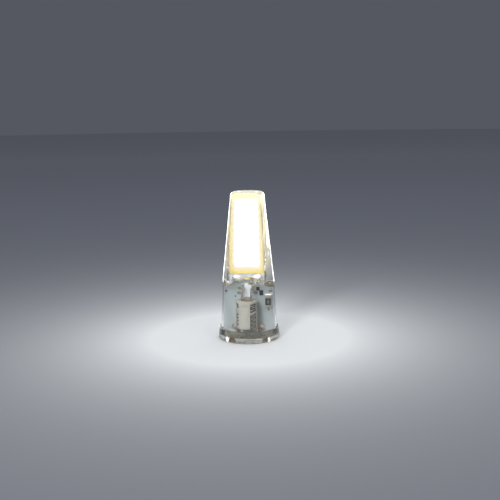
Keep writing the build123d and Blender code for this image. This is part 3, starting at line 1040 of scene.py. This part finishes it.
# Floor and backdrop. A matt sheet with a painted pool of lamp light: pale round the lamp, fading with the
# square of the distance to a dark slate grey that turns lighter further off. Beyond it a plain slate-grey
# room. It lies just under the cap, so the two share no face.
pool_reach_mm, painted_pool_strength = 20, 1.9
far_from_mm, far_to_mm = 90, 620
floor_radius = 1.5
floor_sink_mm = 0.02
floor_material = start_material("matt sheet with painted lamp pool")
floor_spot = add(floor_material, "ShaderNodeTexCoord").outputs["Object"]
floor_reach = add(floor_material, "ShaderNodeVectorMath", links={0: floor_spot}, operation="LENGTH")
floor_spread = add(
    floor_material,
    "ShaderNodeMath",
    {1: 1 / (pool_reach_mm * MM)},
    {0: floor_reach.outputs["Value"]},
    operation="MULTIPLY",
)
floor_square = add(
    floor_material,
    "ShaderNodeMath",
    {2: 1.0},
    {0: floor_spread.outputs[0], 1: floor_spread.outputs[0]},
    operation="MULTIPLY_ADD",
)
# Painted light: the lamp's pool of light on the floor, full near the lamp and fading with distance.
painted_lamp_pool = add(
    floor_material,
    "ShaderNodeMath",
    {0: painted_pool_strength},
    {1: floor_square.outputs[0]},
    operation="DIVIDE",
    use_clamp=True,
)
floor_grain = noise_in(floor_material, floor_spot, 3, Detail=2.0)
floor_far_share = add(
    floor_material,
    "ShaderNodeMapRange",
    {"From Min": far_from_mm * MM, "From Max": far_to_mm * MM},
    {"Value": floor_reach.outputs["Value"]},
)
floor_far = mix_colours(floor_material, floor_far_share.outputs[0], "#5D616B", "#7E828D")
floor_tint = add(
    floor_material,
    "ShaderNodeMix",
    {7: linear("#E2E4E6")},
    {0: painted_lamp_pool.outputs[0], 6: floor_far},
    data_type="RGBA",
)
floor_relief = relief_in(floor_material, 0.01, floor_grain)
floor_body = add(
    floor_material,
    "ShaderNodeBsdfPrincipled",
    {"Roughness": 0.8, "Specular IOR Level": 0.0},
    {"Base Color": floor_tint.outputs[2], "Normal": floor_relief},
)
end_material(floor_material, floor_body)
floor_mesh = bpy.data.meshes.new("floor")
floor_form = bmesh.new()
bmesh.ops.create_circle(floor_form, cap_ends=True, segments=96, radius=floor_radius)
floor_form.to_mesh(floor_mesh)
floor_form.free()
floor = bpy.data.objects.new("floor", floor_mesh)
floor.location.z = -floor_sink_mm * MM
bpy.context.collection.objects.link(floor)
floor.data.materials.append(floor_material)

world = bpy.data.worlds.new("slate room")
bpy.context.scene.world = world
world.use_nodes = True
world.node_tree.nodes.clear()
world_path = add(world, "ShaderNodeLightPath")
seen = add(
    world,
    "ShaderNodeMath",
    links={0: world_path.outputs["Is Camera Ray"], 1: world_path.outputs["Is Transmission Ray"]},
    operation="MAXIMUM",
)
room_strength = add(
    world,
    "ShaderNodeMapRange",
    {"To Min": 0.4, "To Max": 0.9},
    {"Value": world_path.outputs["Is Glossy Ray"]},
)
room_light = add(
    world, "ShaderNodeBackground", {"Color": linear("#F2F4F8")}, {"Strength": room_strength.outputs[0]}
)
room_wall = add(world, "ShaderNodeBackground", {"Color": linear("#555860"), "Strength": 1.0})
room = add(
    world,
    "ShaderNodeMixShader",
    links={0: seen.outputs[0], 1: room_light.outputs[0], 2: room_wall.outputs[0]},
)
add(world, "ShaderNodeOutputWorld", links={"Surface": room.outputs[0]})


# Lamps. A small key on the left in front, a weak fill on the right and a large soft box above. A low strip
# close behind each side draws the bright edges of the clear plastic. The strips are seen in gloss and through
# the plastic, and light no matt surface.
def soft_box(name, place, aim, size, power, lights_matt=True):
    """Rectangular lamp, turned towards its aim and not seen by the camera."""
    lamp = bpy.data.lights.new(name, "AREA")
    lamp.shape = "RECTANGLE"
    lamp.size, lamp.size_y = size
    lamp.energy = power
    holder = bpy.data.objects.new(name, lamp)
    holder.location = place
    holder.rotation_mode = "QUATERNION"
    holder.rotation_quaternion = (Vector(aim) - Vector(place)).to_track_quat("-Z", "Y")
    holder.visible_camera = False
    holder.visible_diffuse = lights_matt
    bpy.context.collection.objects.link(holder)


lower_middle, upper_middle = (0, 0, 0.012), (0, 0, 0.018)
strip_size, strip_power = (0.014, 0.04), 0.011
soft_box("key", (-0.1, -0.36, 0.2), lower_middle, (0.075, 0.075), 0.82)
soft_box("fill", (0.3, -0.24, 0.16), lower_middle, (0.26, 0.2), 0.2)
soft_box("top", (0, 0.06, 0.4), lower_middle, (0.3, 0.3), 0.7)
soft_box("left_edge", (-0.028, 0.045, 0.021), upper_middle, strip_size, strip_power, lights_matt=False)
soft_box("right_edge", (0.018, 0.05, 0.021), upper_middle, strip_size, strip_power, lights_matt=False)

# Camera. At the photograph's place: about 160 mm away and a little above, tipped down 9.5 degrees, with a
# slight turn and roll.
camera_turn = math.radians(9)
camera_tip_degrees = 9.49
camera_aside = math.radians(-0.134)
camera_roll = math.radians(-0.81)
camera_reach = 158.5 * MM
camera_height = 43.35 * MM
camera_data = bpy.data.cameras.new("camera")
camera_data.lens = 60.94
camera_data.sensor_width = 36
camera_data.clip_start = 0.005
camera = bpy.data.objects.new("camera", camera_data)
camera.location = (
    camera_reach * math.sin(camera_turn),
    -camera_reach * math.cos(camera_turn),
    camera_height,
)
camera.rotation_mode = "QUATERNION"
camera.rotation_quaternion = (
    Matrix.Rotation(camera_turn + camera_aside, 3, "Z")
    @ Matrix.Rotation(math.radians(90 - camera_tip_degrees), 3, "X")
    @ Matrix.Rotation(camera_roll, 3, "Z")
).to_quaternion()
bpy.context.collection.objects.link(camera)
bpy.context.scene.camera = camera
bpy.context.scene.view_settings.view_transform = "Standard"
